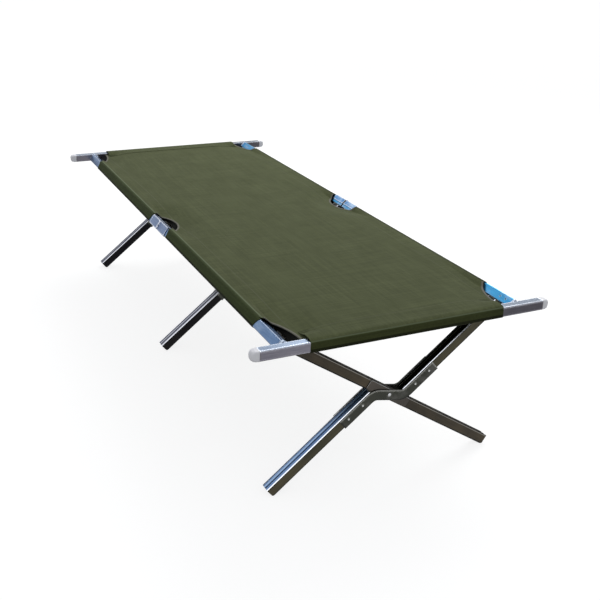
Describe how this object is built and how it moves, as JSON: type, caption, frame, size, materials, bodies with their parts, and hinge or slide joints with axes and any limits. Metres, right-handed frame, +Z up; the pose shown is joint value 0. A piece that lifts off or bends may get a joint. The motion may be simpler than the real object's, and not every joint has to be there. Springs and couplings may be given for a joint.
{
  "type": "folding camp bed",
  "caption": "Folding camp bed: a taut fabric bed on two hinged side rails, crossed legs with offset brackets, and end bars that pull off.",
  "frame": {"origin": "on the ground under the centre of the bed", "axes": "+X along the bed to the end nearest the camera, +Y across it to the right rail, +Z up"},
  "size_m": [1.903, 0.82, 0.4561],
  "materials": {
    "bare_aluminium": "satin, bare",
    "leg_metal": "semi-gloss, dark olive-brown",
    "bracket_metal": "satin, dark olive-grey",
    "cap_plastic": "matte white",
    "olive_fabric": "plain woven, olive drab"
  },
  "bodies": {
    "frame_a_near": {"rail_a_near": "bare_aluminium", "end_fitting_a_near": "bare_aluminium", "hinge_leaf_a_near": "bare_aluminium", "hinge_pin_a": "bare_aluminium", "leg_a_near": "leg_metal", "pivot_plate_front_near": "bracket_metal", "pivot_plate_rear_near": "bracket_metal", "pivot_rivet_near": "bare_aluminium", "saddle_a_near": "bracket_metal", "fabric_bed": "olive_fabric"},
    "frame_b_near": {"rail_b_near": "bare_aluminium", "end_fitting_b_near": "bare_aluminium", "hinge_leaf_b_near": "bare_aluminium", "hinge_pin_b": "bare_aluminium", "leg_b_lower_near": "leg_metal", "leg_b_upper_near": "leg_metal", "offset_bracket_front_near": "bracket_metal", "offset_bracket_rear_near": "bracket_metal", "saddle_b_near": "bracket_metal"},
    "frame_a_far": {"rail_a_far": "bare_aluminium", "end_fitting_a_far": "bare_aluminium", "hinge_leaf_a_far": "bare_aluminium", "leg_a_mid": "leg_metal", "pivot_plate_front_mid": "bracket_metal", "pivot_plate_rear_mid": "bracket_metal", "pivot_rivet_mid": "bare_aluminium", "saddle_a_mid": "bracket_metal", "leg_a_far": "leg_metal", "pivot_plate_front_far": "bracket_metal", "pivot_plate_rear_far": "bracket_metal", "pivot_rivet_far": "bare_aluminium", "saddle_a_far": "bracket_metal"},
    "frame_b_far": {"rail_b_far": "bare_aluminium", "end_fitting_b_far": "bare_aluminium", "hinge_leaf_b_far": "bare_aluminium", "leg_b_lower_mid": "leg_metal", "leg_b_upper_mid": "leg_metal", "offset_bracket_front_mid": "bracket_metal", "offset_bracket_rear_mid": "bracket_metal", "saddle_b_mid": "bracket_metal", "leg_b_lower_far": "leg_metal", "leg_b_upper_far": "leg_metal", "offset_bracket_front_far": "bracket_metal", "offset_bracket_rear_far": "bracket_metal", "saddle_b_far": "bracket_metal"},
    "near_bar": {"end_bar_near": "bare_aluminium", "end_cap_left_near": "cap_plastic", "end_cap_right_near": "cap_plastic"},
    "far_bar": {"end_bar_far": "bare_aluminium", "end_cap_left_far": "cap_plastic", "end_cap_right_far": "cap_plastic"}
  },
  "joints": [
    {"name": "leg_spread", "type": "hinge", "parent": "frame_a_near", "child": "frame_b_near", "pos_m": [0.8554, -0.00095, 0.2215], "axis": [1, 0, 0], "range_deg": [0, 107.9], "deforming": ["fabric_bed"]},
    {"name": "leg_spread_far", "type": "hinge", "parent": "frame_a_far", "child": "frame_b_far", "pos_m": [-0.8554, -0.00095, 0.2215], "axis": [1, 0, 0], "range_deg": [0, 107.9], "deforming": ["fabric_bed"]},
    {"name": "middle_fold", "type": "hinge", "parent": "frame_a_near", "child": "frame_a_far", "pos_m": [0, -0.33517, 0.44272], "axis": [0, 0.5519, 0.8339], "range_deg": [0, 170], "deforming": ["fabric_bed"]},
    {"name": "near_bar_pull", "type": "slide", "parent": "frame_a_near", "child": "near_bar", "axis": [1, 0, 0], "range_m": [0, 0.02], "deforming": ["fabric_bed"]},
    {"name": "far_bar_pull", "type": "slide", "parent": "frame_a_far", "child": "far_bar", "axis": [-1, 0, 0], "range_m": [0, 0.02], "deforming": ["fabric_bed"]}
  ],
  "couplings": [
    {"joint": "leg_spread_far", "follows": "leg_spread", "ratio": 1}
  ]
}
